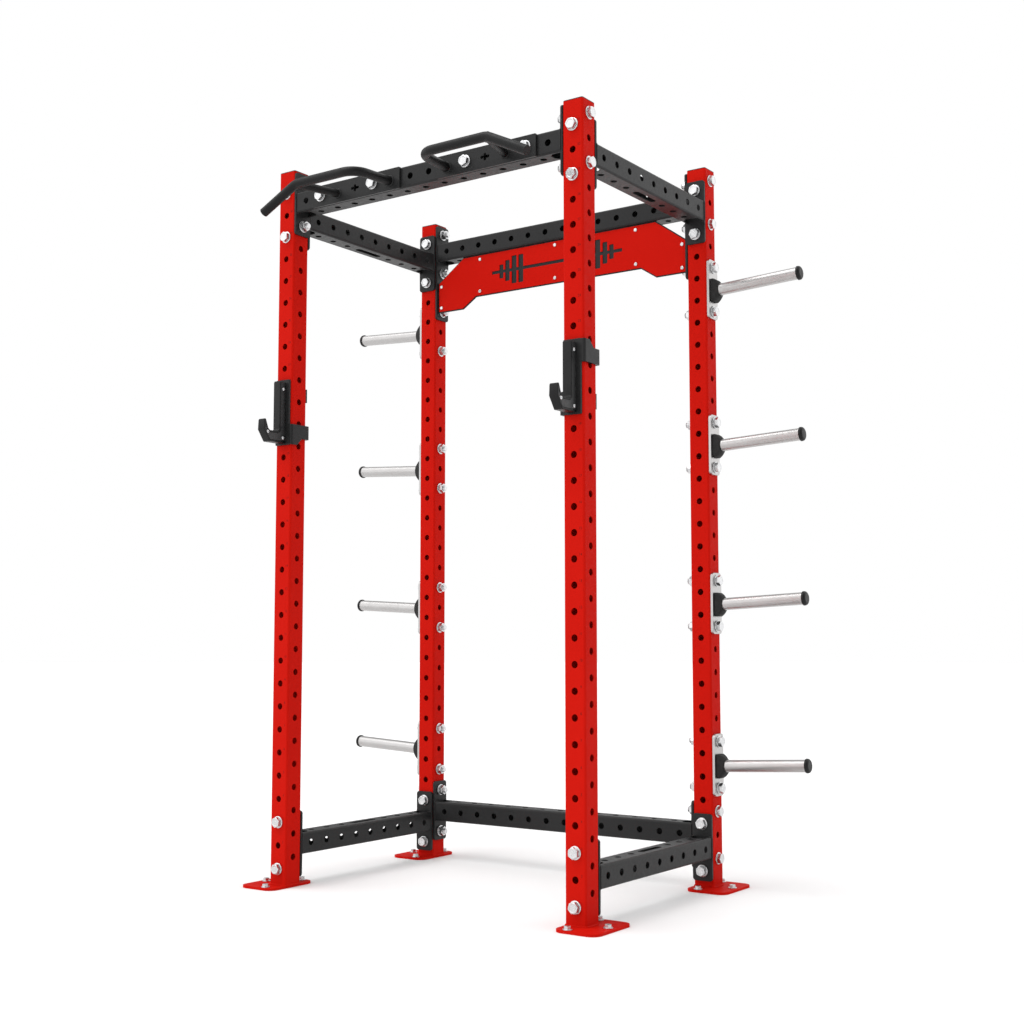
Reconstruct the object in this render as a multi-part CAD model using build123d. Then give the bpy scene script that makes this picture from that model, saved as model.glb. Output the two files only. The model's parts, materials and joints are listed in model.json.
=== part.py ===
from build123d import *
import os

# Power cage: four square uprights tied by bolted cross-beams, with two turning J-cups.
# X is the width (right is +X), Y the depth (front is -Y), Z up, in millimetres.
# The model is laid out about the middle of the rack and shifted in Y as it is saved,
# so that the origin is under the middle of the whole object, at floor level.

# ---------------------------------------------------------------- driving dimensions
TUBE = 70.0             # outside width of uprights and beams
TUBE_WALL = 3.0
TUBE_CORNER = 7.0       # outside corner radius of the square tube
PITCH = 75.0            # hole pitch everywhere
HOLE_R = 10.5
INNER_WIDTH = 1080.0    # clear width between left and right uprights
INNER_DEPTH = 700.0     # clear depth between front and rear uprights
UPRIGHT_TOP = 2385.0
FRONT_HOLE_TOP = 2310.0  # top hole through the front and back faces
SIDE_HOLE_TOP = 2347.5   # top hole through the side faces, half a pitch higher
HOLE_ROWS = 31
BASE_T = 8.0            # base plate thickness
PLATE_T = 8.0           # beam end plates, grip plates and storage peg plates

UPRIGHT_X = (INNER_WIDTH + TUBE) / 2
UPRIGHT_Y = (INNER_DEPTH + TUBE) / 2
OUTER_X = UPRIGHT_X + TUBE / 2
FRONT_Y = -UPRIGHT_Y - TUBE / 2   # front face of the front uprights
BACK_Y = UPRIGHT_Y + TUBE / 2

# base plates, measured from the upright's centre, outward being away from the cage
BASE_INWARD = 36.0
BASE_OUTWARD = 108.0
BASE_HALF_DEPTH = 102.0
BASE_CORNER = 32.0
ANCHORS = [(5.0, -84.0), (5.0, 84.0), (85.0, 0.0)]
ANCHOR_HOLE_R = 7.0

# beams, each held by bolts one pitch above and one pitch below its centre
SIDE_TOP_Z = FRONT_HOLE_TOP - PITCH
SIDE_BOTTOM_Z = FRONT_HOLE_TOP - 29 * PITCH
CROSS_TOP_Z = SIDE_HOLE_TOP - PITCH
CROSS_BOTTOM_Z = SIDE_HOLE_TOP - 29 * PITCH
END_PLATE_MARGIN = 32.0  # end plate beyond its outermost bolt
END_PLATE_CORNER = 10.0
RELIEF_LENGTH = 48.0     # opening in a beam's top and bottom faces beside each end plate
RELIEF_WIDTH = 50.0
RELIEF_TAPER = 14.0
SLOT_LENGTH = 125.0      # long slot in the middle of each side beam's top and bottom
SLOT_WIDTH = 22.0

# nameplate below the rear top beam, outline given for the right half
NAME_HALF = INNER_WIDTH / 2 - PLATE_T
NAME_TOP = CROSS_TOP_Z - TUBE / 2
NAME_TOP_HALF = 414.0
NAME_SHOULDER = 2154.0
NAME_FOOT = 2040.0
NAME_FOOT_INNER = 414.0
NAME_ARCH = 2079.0
NAME_ARCH_HALF = 354.0
NAME_FRONT_Y = UPRIGHT_Y - 26.5  # clears the washers on the long end plates
NAME_FACE_T = 3.0
NAME_BACK_T = 3.5
NAME_BORDER = 4.0
RIVETS = [(0.0, 2220.0), (0.0, 2099.0), (335.0, 2219.0), (335.0, 2098.0), (516.0, 2139.0), (516.0, 2058.0)]
RIVET_R = 4.0

# pull-up grips on the front top beam, given for the right one
GRIP_FIRST = 1.0 * PITCH      # plate runs over five pitches
GRIP_LAST = 6.0 * PITCH
GRIP_BOLTS = (2.5 * PITCH, 5.5 * PITCH)
GRIP_CROSS = 3.5 * PITCH
GRIP_R = 15.0
GRIP_WALL = 3.0
GRIP_REACH = 160.0            # from the beam's front face to the handle's axis
GRIP_Z = 2267.0
GRIP_WELD_X = 115.0
GRIP_BEND_X = 130.0
GRIP_ELBOW_X = 380.0
GRIP_END = (520.0, 2198.0)    # free end of the handle, X and Z
GRIP_BEND_R = 55.0
STRUT_X = 4.5 * PITCH
STRUT_R = 13.0

# storage pegs on the outer faces of the rear uprights
PEG_ROWS = (5, 12, 19, 26)
PEG_PLATE_WIDTH = 62.0
PEG_PLATE_MARGIN = 25.0
PEG_R = 20.0
PEG_WALL = 2.5
PEG_REACH = 325.0             # from the upright to the tip of the end cap
PEG_TILT = 3.0                # degrees upward
PEG_DROP = 4.0                # root of the tube below the middle of its plate
PEG_CAP_R = 23.0
PEG_CAP_T = 12.0
COLLAR_HEIGHT = 78.0
COLLAR_WIDTH = 50.0
COLLAR_DEPTH = 28.0

# J-cups, about the locking pin: u is the distance forward of the upright's front face
CUP_ROW = 10
CUP_GAP = 0.5                 # running gap between bracket and upright's front face
CUP_PLATE_HALF = 30.0
CUP_HALF_HEIGHT = 110.0
WING_GAP = 1.0                # running gap between the wings and the tube
WING_NEAR = 41.0              # wing edge nearest the pin
WING_FAR = 109.0
WING_REAR_FAR = 87.0
WING_TAPER = (20.0, 42.0)     # taper of the wing's far edge, measured back from the front face
PIN_R = 10.4
PIN_LENGTH = TUBE + 5.0
HOOK_HALF = 14.0              # half thickness of the steel hook
GUARD_HALF = 15.0             # half thickness of its plastic guard
GUARD_WALL = 7.0
CUP_SCREWS = [(18.5, 76.0), (18.5, -88.0), (89.0, -73.5)]  # u and height of the hook's screws
CUP_SCREW_R = 3.0
CUP_SCREW_HEAD_R = 6.0
CUP_SCREW_HEAD_T = 4.0

# M20 fasteners
BOLT_R = 10.0
HEX_R = 17.3
HEAD_T = 12.5
NUT_T = 16.0
WASHER_R = 19.5
WASHER_T = 3.0
THREAD_END = 8.0

# the whole object runs from the front of the grips to the back of the rear base plates
FRONT_REACH = FRONT_Y - GRIP_REACH - GRIP_R
BACK_REACH = UPRIGHT_Y + BASE_HALF_DEPTH
SHIFT_Y = -(FRONT_REACH + BACK_REACH) / 2


def front_hole_z(row):
    return FRONT_HOLE_TOP - PITCH * row


def side_hole_z(row):
    return SIDE_HOLE_TOP - PITCH * row


def save(name, *shapes):
    """Write one node, moved into the object's frame."""
    solids = [solid for shape in shapes for solid in shape.solids()]
    moved = [Pos(0, SHIFT_Y, 0) * solid for solid in solids]
    export_step(moved[0] if len(moved) == 1 else Compound(children=moved), f"parts/{name}.step")


def mirrored(shape):
    """The same shape on the other side of the cage."""
    return mirror(shape, about=Plane.YZ)


def hole(x, y, z, axis, radius=HOLE_R, length=2 * TUBE):
    turn = {"x": Rot(0, 90, 0), "y": Rot(90, 0, 0), "z": Rot(0, 0, 0)}[axis]
    return Pos(x, y, z) * turn * Cylinder(radius, length)


def square_tube(length):
    """Square tube standing on Z = 0."""
    inside = TUBE - 2 * TUBE_WALL
    section = RectangleRounded(TUBE, TUBE, TUBE_CORNER)
    section -= RectangleRounded(inside, inside, TUBE_CORNER - TUBE_WALL)
    return extrude(section, length)


# ---------------------------------------------------------------- uprights and feet
def upright():
    cutters = [hole(0, 0, front_hole_z(row), "y") for row in range(HOLE_ROWS)]
    cutters += [hole(0, 0, side_hole_z(row), "x") for row in range(HOLE_ROWS)]
    return Pos(0, 0, BASE_T) * square_tube(UPRIGHT_TOP - BASE_T) - cutters


def base_plate():
    """Base plate of a right-hand upright."""
    width = BASE_INWARD + BASE_OUTWARD
    outline = Pos((BASE_OUTWARD - BASE_INWARD) / 2, 0) * RectangleRounded(
        width, 2 * BASE_HALF_DEPTH, BASE_CORNER
    )
    for x, y in ANCHORS:
        outline -= Pos(x, y) * Circle(ANCHOR_HOLE_R)
    return extrude(outline, BASE_T)


def end_cap():
    flange_t = 3.0
    plug_depth = 18.0
    plug_wall = 3.0
    plug = TUBE - 2 * TUBE_WALL - 0.2
    cap = Pos(0, 0, UPRIGHT_TOP) * extrude(RectangleRounded(TUBE, TUBE, TUBE_CORNER), flange_t)
    ring = RectangleRounded(plug, plug, TUBE_CORNER - TUBE_WALL)
    ring -= Rectangle(plug - 2 * plug_wall, plug - 2 * plug_wall)
    cap += Pos(0, 0, UPRIGHT_TOP - plug_depth) * extrude(ring, plug_depth)
    top = cap.faces().sort_by(Axis.Z)[-1]
    return chamfer(top.edges(), 1.2)


def make_uprights():
    body = upright()
    plate = base_plate()
    cap = end_cap()
    caps = []
    for depth, y in (("front", -UPRIGHT_Y), ("rear", UPRIGHT_Y)):
        place = Pos(UPRIGHT_X, y, 0)
        save(f"{depth}_right_upright", place * body)
        save(f"{depth}_left_upright", mirrored(place * body))
        save(f"{depth}_right_base_plate", place * plate)
        save(f"{depth}_left_base_plate", mirrored(place * plate))
        caps += [place * cap, mirrored(place * cap)]
    save("upright_end_caps", *caps)


# ---------------------------------------------------------------- beams
def beam(span, face_holes, top_holes, slot=False, plate_bolts=(PITCH, -PITCH)):
    """Beam along X between two uprights that are span apart, centred on the origin.

    face_holes and top_holes give the places of the holes along the beam.
    """
    length = span - 2 * PLATE_T
    body = Pos(-length / 2, 0, 0) * Rot(0, 90, 0) * square_tube(length)
    cutters = [hole(x, 0, 0, "y") for x in face_holes]
    cutters += [hole(x, 0, 0, "z") for x in top_holes]
    if slot:
        cutters.append(Pos(0, 0, -TUBE) * extrude(SlotOverall(SLOT_LENGTH, SLOT_WIDTH), 2 * TUBE))
    half = RELIEF_WIDTH / 2
    relief = Polygon(
        (0, -half), (RELIEF_LENGTH - RELIEF_TAPER, -half), (RELIEF_LENGTH, RELIEF_TAPER - half),
        (RELIEF_LENGTH, half - RELIEF_TAPER), (RELIEF_LENGTH - RELIEF_TAPER, half), (0, half), align=None
    )
    for turn in (0, 180):
        notch = Pos(-length / 2, 0, -TUBE) * extrude(relief, 2 * TUBE)
        cutters.append(Rot(0, 0, turn) * notch)
    body -= cutters
    top = plate_bolts[0] + END_PLATE_MARGIN
    bottom = plate_bolts[-1] - END_PLATE_MARGIN
    outline = Pos(0, (top + bottom) / 2) * RectangleRounded(TUBE, top - bottom, END_PLATE_CORNER)
    for z in plate_bolts:
        outline -= Pos(0, z) * Circle(HOLE_R)
    plate = extrude(Plane.YZ * outline, PLATE_T)
    body += Pos(length / 2, 0, 0) * plate
    body += Pos(-length / 2 - PLATE_T, 0, 0) * plate
    return body


def make_beams():
    cross_faces = [(k - 6.5) * PITCH for k in range(14)]
    cross_tops = [(k - 6) * PITCH for k in range(13)]
    side_faces = [(k - 4) * PITCH for k in range(9)]
    side_tops = [side * (k + 1.5) * PITCH for k in range(3) for side in (-1, 1)]
    cross = beam(INNER_WIDTH, cross_faces, cross_tops)
    long_plates = (PITCH, -PITCH, -3 * PITCH)
    rear_top = beam(INNER_WIDTH, cross_faces, cross_tops, plate_bolts=long_plates)
    side = Rot(0, 0, 90) * beam(INNER_DEPTH, side_faces, side_tops, slot=True)
    save("front_top_beam", Pos(0, -UPRIGHT_Y, CROSS_TOP_Z) * cross)
    save("rear_top_beam", Pos(0, UPRIGHT_Y, CROSS_TOP_Z) * rear_top)
    save("rear_bottom_beam", Pos(0, UPRIGHT_Y, CROSS_BOTTOM_Z) * cross)
    for name, z in (("top", SIDE_TOP_Z), ("bottom", SIDE_BOTTOM_Z)):
        save(f"right_{name}_side_beam", Pos(UPRIGHT_X, 0, z) * side)
        save(f"left_{name}_side_beam", Pos(-UPRIGHT_X, 0, z) * side)


# ---------------------------------------------------------------- nameplate
def name_outline():
    right = [
        (NAME_TOP_HALF, NAME_TOP), (NAME_HALF, NAME_SHOULDER), (NAME_HALF, NAME_FOOT),
        (NAME_FOOT_INNER, NAME_FOOT), (NAME_ARCH_HALF, NAME_ARCH),
    ]
    left = [(-x, z) for x, z in reversed(right)]
    return Polygon(*right, *left, align=None)


def barbell_cutout():
    """A loaded barbell drawn in plain bars."""
    z = (NAME_TOP + NAME_ARCH) / 2
    shape = Pos(0, z) * Rectangle(560, 12)
    for x, height, width in ((150, 104, 22), (180, 104, 22), (210, 78, 20), (237, 52, 18)):
        for side in (-1, 1):
            shape += Pos(side * x, z) * RectangleRounded(width, height, 4)
    return shape


def make_nameplate():
    places = [(side * x, z) for x, z in RIVETS for side in ((-1, 1) if x else (1,))]
    outline = name_outline()
    face = offset(outline, -NAME_BORDER, kind=Kind.INTERSECTION)
    face -= barbell_cutout()
    for x, z in places:
        outline -= Pos(x, z) * Circle(RIVET_R + 0.2)
        face -= Pos(x, z) * Circle(RIVET_R + 0.2)
    backing = extrude(Plane.XZ * outline, NAME_BACK_T, dir=(0, 1, 0))
    face = extrude(Plane.XZ * face, NAME_FACE_T, dir=(0, 1, 0))
    save("nameplate_backing", Pos(0, NAME_FRONT_Y + NAME_FACE_T, 0) * backing)
    save("nameplate_face", Pos(0, NAME_FRONT_Y, 0) * face)
    rivets = []
    head_t = 3.0
    shank = NAME_FACE_T + NAME_BACK_T + 2.0
    for x, z in places:
        head = Cylinder(1.6 * RIVET_R, head_t, align=(Align.CENTER, Align.CENTER, Align.MIN))
        head = fillet(head.faces().sort_by(Axis.Z)[-1].edges(), 1.8)
        stem = Pos(0, 0, -shank) * Cylinder(RIVET_R, shank, align=(Align.CENTER, Align.CENTER, Align.MIN))
        rivets.append(Pos(x, NAME_FRONT_Y, z) * Rot(90, 0, 0) * (head + stem))
    save("nameplate_rivets", *rivets)


# ---------------------------------------------------------------- pull-up grips
def grip_plate():
    middle = (GRIP_FIRST + GRIP_LAST) / 2
    outline = Pos(middle, CROSS_TOP_Z) * RectangleRounded(GRIP_LAST - GRIP_FIRST, TUBE, 3)
    for x in GRIP_BOLTS:
        outline -= Pos(x, CROSS_TOP_Z) * Circle(HOLE_R)
    outline -= Pos(GRIP_CROSS, CROSS_TOP_Z) * SlotOverall(34, 9)
    outline -= Pos(GRIP_CROSS, CROSS_TOP_Z) * SlotOverall(24, 9, rotation=90)
    return Pos(0, FRONT_Y, 0) * extrude(Plane.XZ * outline, PLATE_T)


def grip_handle_path():
    handle_y = FRONT_Y - GRIP_REACH
    start = (GRIP_WELD_X, FRONT_Y - PLATE_T / 2, GRIP_Z)
    bend = (GRIP_BEND_X, handle_y, GRIP_Z)
    elbow = (GRIP_ELBOW_X, handle_y, GRIP_Z)
    end = (GRIP_END[0], handle_y, GRIP_END[1])
    return FilletPolyline(start, bend, elbow, end, radius=GRIP_BEND_R)


def grip_tube(outer, inner=0.0):
    path = grip_handle_path()
    start = Plane(origin=path @ 0, z_dir=path % 0)
    section = Circle(outer) - Circle(inner) if inner else Circle(outer)
    return sweep(start * section, path)


def grip_strut(plate, handle_body):
    foot = Vector(STRUT_X, FRONT_Y - PLATE_T / 2, GRIP_Z)
    head = Vector(GRIP_ELBOW_X, FRONT_Y - GRIP_REACH, GRIP_Z)
    run = head - foot
    body = extrude(Plane(origin=foot, z_dir=run) * Circle(STRUT_R), run.length)
    return body - handle_body - plate


def grip_plug():
    path = grip_handle_path()
    flange_t = 3.0
    plug_depth = 15.0
    plug_gap = 0.1
    end = Plane(origin=path @ 1, z_dir=path % 1)
    body = extrude(end * Circle(GRIP_R), flange_t)
    body += extrude(end * Circle(GRIP_R - GRIP_WALL - plug_gap), -plug_depth)
    return body


def make_grips():
    plate = grip_plate()
    solid_handle = grip_tube(GRIP_R)
    handle = grip_tube(GRIP_R, GRIP_R - GRIP_WALL) - plate
    strut = grip_strut(plate, solid_handle)
    for name, shape in (("plate", plate), ("handle", handle), ("strut", strut)):
        save(f"right_grip_{name}", shape)
        save(f"left_grip_{name}", mirrored(shape))
    plug = grip_plug()
    save("grip_end_plugs", plug, mirrored(plug))


# ---------------------------------------------------------------- storage pegs
PEG_AXIS = Pos(OUTER_X + PLATE_T, UPRIGHT_Y, -PEG_DROP) * Rot(0, 90 - PEG_TILT, 0)
PEG_LENGTH = PEG_REACH - PLATE_T - PEG_CAP_T


def storage_peg():
    """Right-hand storage peg about the height of its plate's middle."""
    half = PITCH + PEG_PLATE_MARGIN
    outline = RectangleRounded(PEG_PLATE_WIDTH, 2 * half, 12)
    for z in (-PITCH, PITCH):
        outline -= Pos(0, z) * Circle(HOLE_R)
    plate = Pos(OUTER_X, UPRIGHT_Y, 0) * extrude(Plane.YZ * outline, PLATE_T)
    ring = Circle(PEG_R) - Circle(PEG_R - PEG_WALL)
    root = 4.0
    tube = PEG_AXIS * Pos(0, 0, -root) * extrude(ring, PEG_LENGTH + root)
    return plate + tube


def storage_collar():
    arc = ThreePointArc((0, -COLLAR_HEIGHT / 2), (COLLAR_DEPTH, 0), (0, COLLAR_HEIGHT / 2))
    outline = make_face(Curve() + [arc, Line((0, COLLAR_HEIGHT / 2), (0, -COLLAR_HEIGHT / 2))])
    body = extrude(Plane.XZ * outline, COLLAR_WIDTH / 2, both=True)
    body = Pos(OUTER_X + PLATE_T, UPRIGHT_Y, -PEG_DROP) * body
    return body - PEG_AXIS * Cylinder(PEG_R + 0.1, 4 * COLLAR_DEPTH)


def storage_cap():
    plug_depth = 18.0
    body = Cylinder(PEG_CAP_R, PEG_CAP_T, align=(Align.CENTER, Align.CENTER, Align.MIN))
    body = fillet(body.faces().sort_by(Axis.Z)[-1].edges(), 9)
    plug = Cylinder(PEG_R - PEG_WALL - 0.1, plug_depth, align=(Align.CENTER, Align.CENTER, Align.MAX))
    return PEG_AXIS * Pos(0, 0, PEG_LENGTH) * (body + plug)


def make_storage():
    peg = storage_peg()
    collar = storage_collar()
    cap = storage_cap()
    caps = []
    for number, row in enumerate(PEG_ROWS, start=1):
        place = Pos(0, 0, side_hole_z(row))
        save(f"right_storage_peg_{number}", place * peg)
        save(f"left_storage_peg_{number}", mirrored(place * peg))
        save(f"right_peg_collar_{number}", place * collar)
        save(f"left_peg_collar_{number}", mirrored(place * collar))
        caps += [place * cap, mirrored(place * cap)]
    save("storage_peg_end_caps", *caps)


# ---------------------------------------------------------------- J-cups
def cup_profile(points, half):
    """Plate standing across the cup, from a profile of (u, height) points."""
    outline = Plane.YZ * Polygon(*[(-u, z) for u, z in points], align=None)
    return extrude(outline, half, both=True)


def cup_wing():
    """Upper wing of the right-hand cup: a C round the tube's outer side, open towards -X."""
    outer_half = TUBE / 2 + WING_GAP + PLATE_T
    inner_half = TUBE / 2 + WING_GAP
    front, back = -CUP_GAP - PLATE_T, TUBE + WING_GAP + PLATE_T
    ring = Pos(0, (front + back) / 2) * RectangleRounded(2 * outer_half, back - front, 9)
    hollow_front, hollow_back = -CUP_GAP, TUBE + WING_GAP
    ring -= Pos(0, (hollow_front + hollow_back) / 2) * RectangleRounded(
        2 * inner_half, hollow_back - hollow_front, 1.0
    )
    ring -= Pos(-CUP_PLATE_HALF - TUBE / 2, (front + back) / 2) * Rectangle(TUBE, 2 * (back - front))
    wing = Pos(0, 0, WING_NEAR) * extrude(ring, WING_FAR - WING_NEAR)
    taper = Polygon(
        (WING_TAPER[0], WING_FAR), (WING_TAPER[1], WING_REAR_FAR), (2 * TUBE, WING_REAR_FAR),
        (2 * TUBE, 2 * WING_FAR), (WING_TAPER[0], 2 * WING_FAR), align=None
    )
    return wing - extrude(Plane.YZ * taper, 2 * TUBE, both=True)


def cup_bracket():
    outline = RectangleRounded(2 * CUP_PLATE_HALF, 2 * CUP_HALF_HEIGHT, 4)
    plate = Pos(0, -CUP_GAP, 0) * extrude(Plane.XZ * outline, PLATE_T)
    wing = cup_wing()
    return plate + wing + Rot(0, 180, 0) * wing


def cup_pin():
    body = Pos(0, -CUP_GAP, 0) * Rot(-90, 0, 0) * Cylinder(
        PIN_R, PIN_LENGTH, align=(Align.CENTER, Align.CENTER, Align.MIN)
    )
    tip = body.faces().sort_by(Axis.Y)[-1]
    return chamfer(tip.edges(), 2.5)


def hook_points():
    """Outer J profile of hook and guard together, as (u, height)."""
    back = CUP_GAP + PLATE_T
    return [
        (back, 100), (35, 100), (35, -60), (42, -67), (78, -68), (86, -62), (97, -34), (101, -31),
        (104, -36), (106, -68), (80, -105), (back, -105),
    ]


def core_points():
    """Steel core of the hook, inside the guard."""
    back = CUP_GAP + PLATE_T
    wall = GUARD_WALL
    return [
        (back, 100), (35 - wall, 100), (35 - wall, -63), (39, -67 - wall), (81, -68 - wall), (91, -66),
        (97, -52), (99, -67), (77, -105 + wall), (back, -105 + wall),
    ]


def screw_head(side, radius):
    """Head of a hook screw, seated on one side of the steel core."""
    head = Cylinder(radius, CUP_SCREW_HEAD_T, align=(Align.CENTER, Align.CENTER, Align.MIN))
    return Rot(0, 90 * side, 0) * Pos(0, 0, HOOK_HALF) * head


def make_cups():
    core = cup_profile(core_points(), HOOK_HALF)
    guard = cup_profile(hook_points(), GUARD_HALF) - cup_profile(core_points(), 2 * GUARD_HALF)
    screws = []
    for u, z in CUP_SCREWS:
        place = Pos(0, -u, z)
        core -= hole(0, -u, z, "x", CUP_SCREW_R + 0.1)
        screw = Rot(0, 90, 0) * Cylinder(CUP_SCREW_R, 2 * HOOK_HALF)
        for side in (-1, 1):
            screw += screw_head(side, CUP_SCREW_HEAD_R)
            guard -= place * screw_head(side, CUP_SCREW_HEAD_R + 0.1)
        screws.append(place * screw)
    place = Pos(UPRIGHT_X, FRONT_Y, front_hole_z(CUP_ROW))
    pieces = {
        "bracket": cup_bracket(), "locking_pin": cup_pin(), "hook": core, "guard": guard,
        "screws": Compound(children=screws),
    }
    for name, shape in pieces.items():
        save(f"right_j_cup_{name}", place * shape)
        save(f"left_j_cup_{name}", mirrored(place * shape))


# ---------------------------------------------------------------- fasteners
def hexagon(height, chamfer_by):
    """Hexagonal head or nut blank with turned corners on its far end."""
    blank = extrude(RegularPolygon(HEX_R, 6), height)
    turned = Cylinder(HEX_R, height, align=(Align.CENTER, Align.CENTER, Align.MIN))
    turned = chamfer(turned.faces().sort_by(Axis.Z)[-1].edges(), chamfer_by)
    return blank & turned


def washer():
    return extrude(Circle(WASHER_R) - Circle(BOLT_R + 0.3), WASHER_T)


def bolt(grip):
    """M20 bolt through a stack that is grip thick; its head is below Z = 0."""
    shank = grip + WASHER_T + NUT_T + THREAD_END
    head = Pos(0, 0, -WASHER_T) * Rot(180, 0, 0) * hexagon(HEAD_T, 2.2)
    body = Pos(0, 0, -WASHER_T) * Cylinder(
        BOLT_R, shank + WASHER_T, align=(Align.CENTER, Align.CENTER, Align.MIN)
    )
    return head + chamfer(body.faces().sort_by(Axis.Z)[-1].edges(), 1.5)


def nut():
    return hexagon(NUT_T, 1.5) - Cylinder(BOLT_R + 0.05, 4 * NUT_T)


def fasten(group, x, y, z, direction, grip):
    """Add one bolt, its nut and two washers; direction runs from head to nut."""
    place = Plane(origin=(x, y, z), x_dir=(0, 0, 1), z_dir=direction).location
    group["bolts"].append(place * bolt(grip))
    group["nuts"].append(place * Pos(0, 0, grip + WASHER_T) * nut())
    group["washers"].append(place * Pos(0, 0, -WASHER_T) * washer())
    group["washers"].append(place * Pos(0, 0, grip) * washer())


def frame_fasteners():
    group = {"bolts": [], "nuts": [], "washers": []}
    stack = TUBE + PLATE_T
    for side in (-1, 1):
        inward = (-side, 0, 0)
        for row in (0, 2, 28, 30):
            z = front_hole_z(row)
            fasten(group, side * UPRIGHT_X, FRONT_Y, z, (0, 1, 0), stack)
            fasten(group, side * UPRIGHT_X, BACK_Y - stack, z, (0, 1, 0), stack)
        for y, rows in ((-UPRIGHT_Y, (0, 2)), (UPRIGHT_Y, (0, 2, 28, 30))):
            for row in rows:
                fasten(group, side * OUTER_X, y, side_hole_z(row), inward, stack)
        for x in GRIP_BOLTS:
            fasten(group, side * x, FRONT_Y - PLATE_T, CROSS_TOP_Z, (0, 1, 0), stack)
    return group


def peg_fasteners():
    group = {"bolts": [], "nuts": [], "washers": []}
    for side in (-1, 1):
        for row in PEG_ROWS:
            for step in (-1, 1):
                through_beam = row + step == 4
                stack = TUBE + PLATE_T + (PLATE_T if through_beam else 0)
                x = side * (OUTER_X + PLATE_T)
                fasten(group, x, UPRIGHT_Y, side_hole_z(row + step), (-side, 0, 0), stack)
    return group


def anchor_bolt():
    """Floor anchor's head, washer and the stretch of shank inside the base plate."""
    shank_r, washer_r, washer_t, head_r, head_t = 6.0, 14.0, 2.5, 10.5, 8.0
    low = Align.CENTER, Align.CENTER, Align.MIN
    body = Pos(0, 0, 1) * Cylinder(shank_r, BASE_T - 1, align=low)
    body += Pos(0, 0, BASE_T) * Cylinder(washer_r, washer_t, align=low)
    body += Pos(0, 0, BASE_T + washer_t) * extrude(RegularPolygon(head_r, 6), head_t)
    return body


def make_fasteners():
    for name, group in (("frame", frame_fasteners()), ("peg", peg_fasteners())):
        for kind, shapes in group.items():
            save(f"{name}_{kind}", *shapes)
    anchors = []
    for side in (-1, 1):
        for y in (-UPRIGHT_Y, UPRIGHT_Y):
            for dx, dy in ANCHORS:
                anchors.append(Pos(side * (UPRIGHT_X + dx), y + dy, 0) * anchor_bolt())
    save("anchor_bolts", *anchors)


os.makedirs("parts", exist_ok=True)
make_uprights()
make_beams()
make_nameplate()
make_grips()
make_storage()
make_cups()
make_fasteners()
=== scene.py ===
import json
import math

import bmesh
import bpy
from mathutils import Matrix, Vector
from mathutils.bvhtree import BVHTree


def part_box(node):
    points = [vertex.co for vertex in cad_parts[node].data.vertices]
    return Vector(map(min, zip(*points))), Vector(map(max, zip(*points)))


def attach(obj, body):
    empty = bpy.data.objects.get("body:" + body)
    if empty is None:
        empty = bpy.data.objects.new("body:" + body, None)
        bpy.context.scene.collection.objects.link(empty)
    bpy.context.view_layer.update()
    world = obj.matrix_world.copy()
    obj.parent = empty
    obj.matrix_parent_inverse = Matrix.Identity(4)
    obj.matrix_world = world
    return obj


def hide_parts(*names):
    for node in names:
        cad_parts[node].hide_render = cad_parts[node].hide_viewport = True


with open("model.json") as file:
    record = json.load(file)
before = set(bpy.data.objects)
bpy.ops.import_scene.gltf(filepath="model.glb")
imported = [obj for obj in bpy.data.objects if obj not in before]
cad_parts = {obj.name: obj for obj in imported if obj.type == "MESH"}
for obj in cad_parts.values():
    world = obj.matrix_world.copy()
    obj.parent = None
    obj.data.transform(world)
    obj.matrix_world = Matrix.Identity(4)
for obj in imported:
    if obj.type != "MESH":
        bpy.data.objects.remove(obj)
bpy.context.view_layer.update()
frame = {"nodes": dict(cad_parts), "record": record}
nodes = frame["nodes"]

# ---------------------------------------------------------------- sizes in metres, as in the CAD
SHIFT_Y = 0.054          # the rack's middle in the row frame
TUBE = 0.070
TUBE_CORNER = 0.007
PLATE_T = 0.008
PITCH = 0.075
UPRIGHT_X = 0.575
UPRIGHT_Y = 0.385
BASE_T = 0.008
INNER_WIDTH = 1.080
INNER_DEPTH = 0.700
FRONT_HOLE_TOP = 2.310
HOLE_ROWS = 31
SIDE_TOP_Z = 2.235
SIDE_BOTTOM_Z = 0.135
CROSS_TOP_Z = 2.2725
CROSS_BOTTOM_Z = 0.1725
RELIEF_WIDTH = 0.050
FRONT_Y = -UPRIGHT_Y - TUBE / 2
GRIP_Z = 2.267
GRIP_R = 0.015
GRIP_WELD_X = 0.1154
STRUT_FOOT = Vector((0.3375, FRONT_Y - PLATE_T, GRIP_Z))
STRUT_HEAD = Vector((0.380, FRONT_Y - 0.160, GRIP_Z))
STRUT_R = 0.013
HEX_R = 0.0173
BOLT_HEAD_T = 0.0125
NUT_T = 0.016
WASHER_T = 0.003
WASHER_R = 0.0195
BOLT_R = 0.010
SHANK_R = 0.0098
THREAD_PITCH = 0.0025
THREAD_DEPTH = 0.0013


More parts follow.
